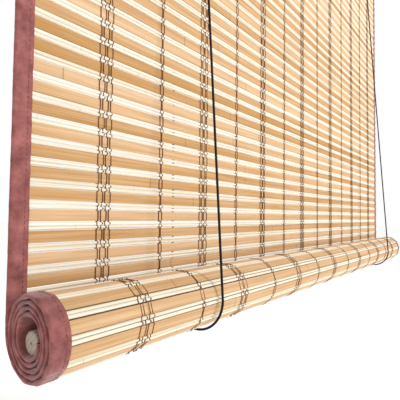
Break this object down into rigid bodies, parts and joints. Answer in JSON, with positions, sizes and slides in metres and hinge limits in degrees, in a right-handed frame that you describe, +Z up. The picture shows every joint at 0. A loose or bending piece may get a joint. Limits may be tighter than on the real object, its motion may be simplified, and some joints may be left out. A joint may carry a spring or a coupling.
{
  "type": "roll-up blind",
  "caption": "Woven bamboo blind that rolls up in front of itself on a bottom dowel, carried by lift cords under the roll.",
  "frame": {"origin": "midway between the two wall holes of the brackets, on the wall's face", "axes": "+X right along the blind as seen from the room, +Y to the wall, +Z up"},
  "size_m": [1, 0.0927, 0.794],
  "materials": {
    "rail_wood": "clear satin varnish",
    "bracket_steel": "zinc plated",
    "screw_steel": "zinc plated",
    "yoke_steel": "pressed and zinc plated",
    "wheel_nylon": "moulded",
    "cam_nylon": "moulded, ribbed",
    "slat_bamboo": "carbonised bamboo, satin",
    "stick_bamboo": "natural bamboo, satin",
    "warp_thread": "twisted cotton",
    "edge_tape": "plain woven, folded and stitched",
    "lift_cord": "braided",
    "dowel_wood": "sawn end grain"
  },
  "bodies": {
    "headrail": {"front_rail": "rail_wood", "rear_rail": "rail_wood", "wall_bracket_left": "bracket_steel", "wall_bracket_right": "bracket_steel", "bracket_screws": "screw_steel", "clamp_screws": "screw_steel", "cord_eye_left": "screw_steel", "cord_eye_right": "screw_steel", "pulley_block_left": "yoke_steel", "pulley_block_right": "yoke_steel", "pulley_pins": "screw_steel", "pulley_screws": "screw_steel", "lock_body": "yoke_steel", "lock_pins": "screw_steel", "lock_screws": "screw_steel", "upper_slats": "slat_bamboo", "upper_sticks": "stick_bamboo", "upper_threads": "warp_thread", "upper_tape_left": "edge_tape", "upper_tape_right": "edge_tape", "panel_slats": "slat_bamboo", "panel_sticks": "stick_bamboo", "panel_threads": "warp_thread", "panel_tape_left": "edge_tape", "panel_tape_right": "edge_tape", "cord_front_left": "lift_cord", "cord_front_right": "lift_cord", "cord_rear_left": "lift_cord", "cord_rear_right": "lift_cord", "cord_head_left": "lift_cord", "cord_head_right": "lift_cord"},
    "cord_cradle": {"cord_loop_left": "lift_cord", "cord_loop_right": "lift_cord"},
    "roll": {"bottom_dowel": "dowel_wood", "dowel_nails": "screw_steel", "roll_slats": "slat_bamboo", "roll_sticks": "stick_bamboo", "roll_threads": "warp_thread", "roll_tape_left": "edge_tape", "roll_tape_right": "edge_tape"},
    "wheel_left": {"pulley_wheel_left": "wheel_nylon"},
    "wheel_right": {"pulley_wheel_right": "wheel_nylon"},
    "lock_wheel": {"lock_roller": "wheel_nylon"},
    "lock_grip": {"lock_cam": "cam_nylon"}
  },
  "joints": [
    {"name": "roll_up", "type": "slide", "parent": "headrail", "child": "cord_cradle", "axis": [0, 0, 1], "range_m": [0, 0.6], "deforming": ["panel_slats", "panel_sticks", "panel_threads", "panel_tape_left", "panel_tape_right", "cord_front_left", "cord_front_right", "cord_rear_left", "cord_rear_right"]},
    {"name": "roll_turn", "type": "hinge", "parent": "cord_cradle", "child": "roll", "pos_m": [0, -0.05915, -0.746], "axis": [-1, 0, 0], "range_deg": [0, 1080]},
    {"name": "wheel_left_turn", "type": "hinge", "parent": "headrail", "child": "wheel_left", "pos_m": [-0.334, -0.022, -0.07], "axis": [0, -1, 0], "continuous": true},
    {"name": "wheel_right_turn", "type": "hinge", "parent": "headrail", "child": "wheel_right", "pos_m": [0.347, -0.022, -0.066], "axis": [0, -1, 0], "continuous": true},
    {"name": "lock_wheel_turn", "type": "hinge", "parent": "headrail", "child": "lock_wheel", "pos_m": [-0.48, -0.0175, -0.066], "axis": [0, -1, 0], "continuous": true},
    {"name": "lock_grip_tilt", "type": "hinge", "parent": "headrail", "child": "lock_grip", "pos_m": [-0.465, -0.0175, -0.069], "axis": [0, 1, 0], "range_deg": [0, 40]}
  ],
  "couplings": [
    {"joint": "roll_turn", "follows": "roll_up", "rad_per_m": 31.416},
    {"joint": "wheel_left_turn", "follows": "roll_up", "rad_per_m": 250},
    {"joint": "wheel_right_turn", "follows": "roll_up", "rad_per_m": 250},
    {"joint": "lock_wheel_turn", "follows": "roll_up", "rad_per_m": 250}
  ]
}
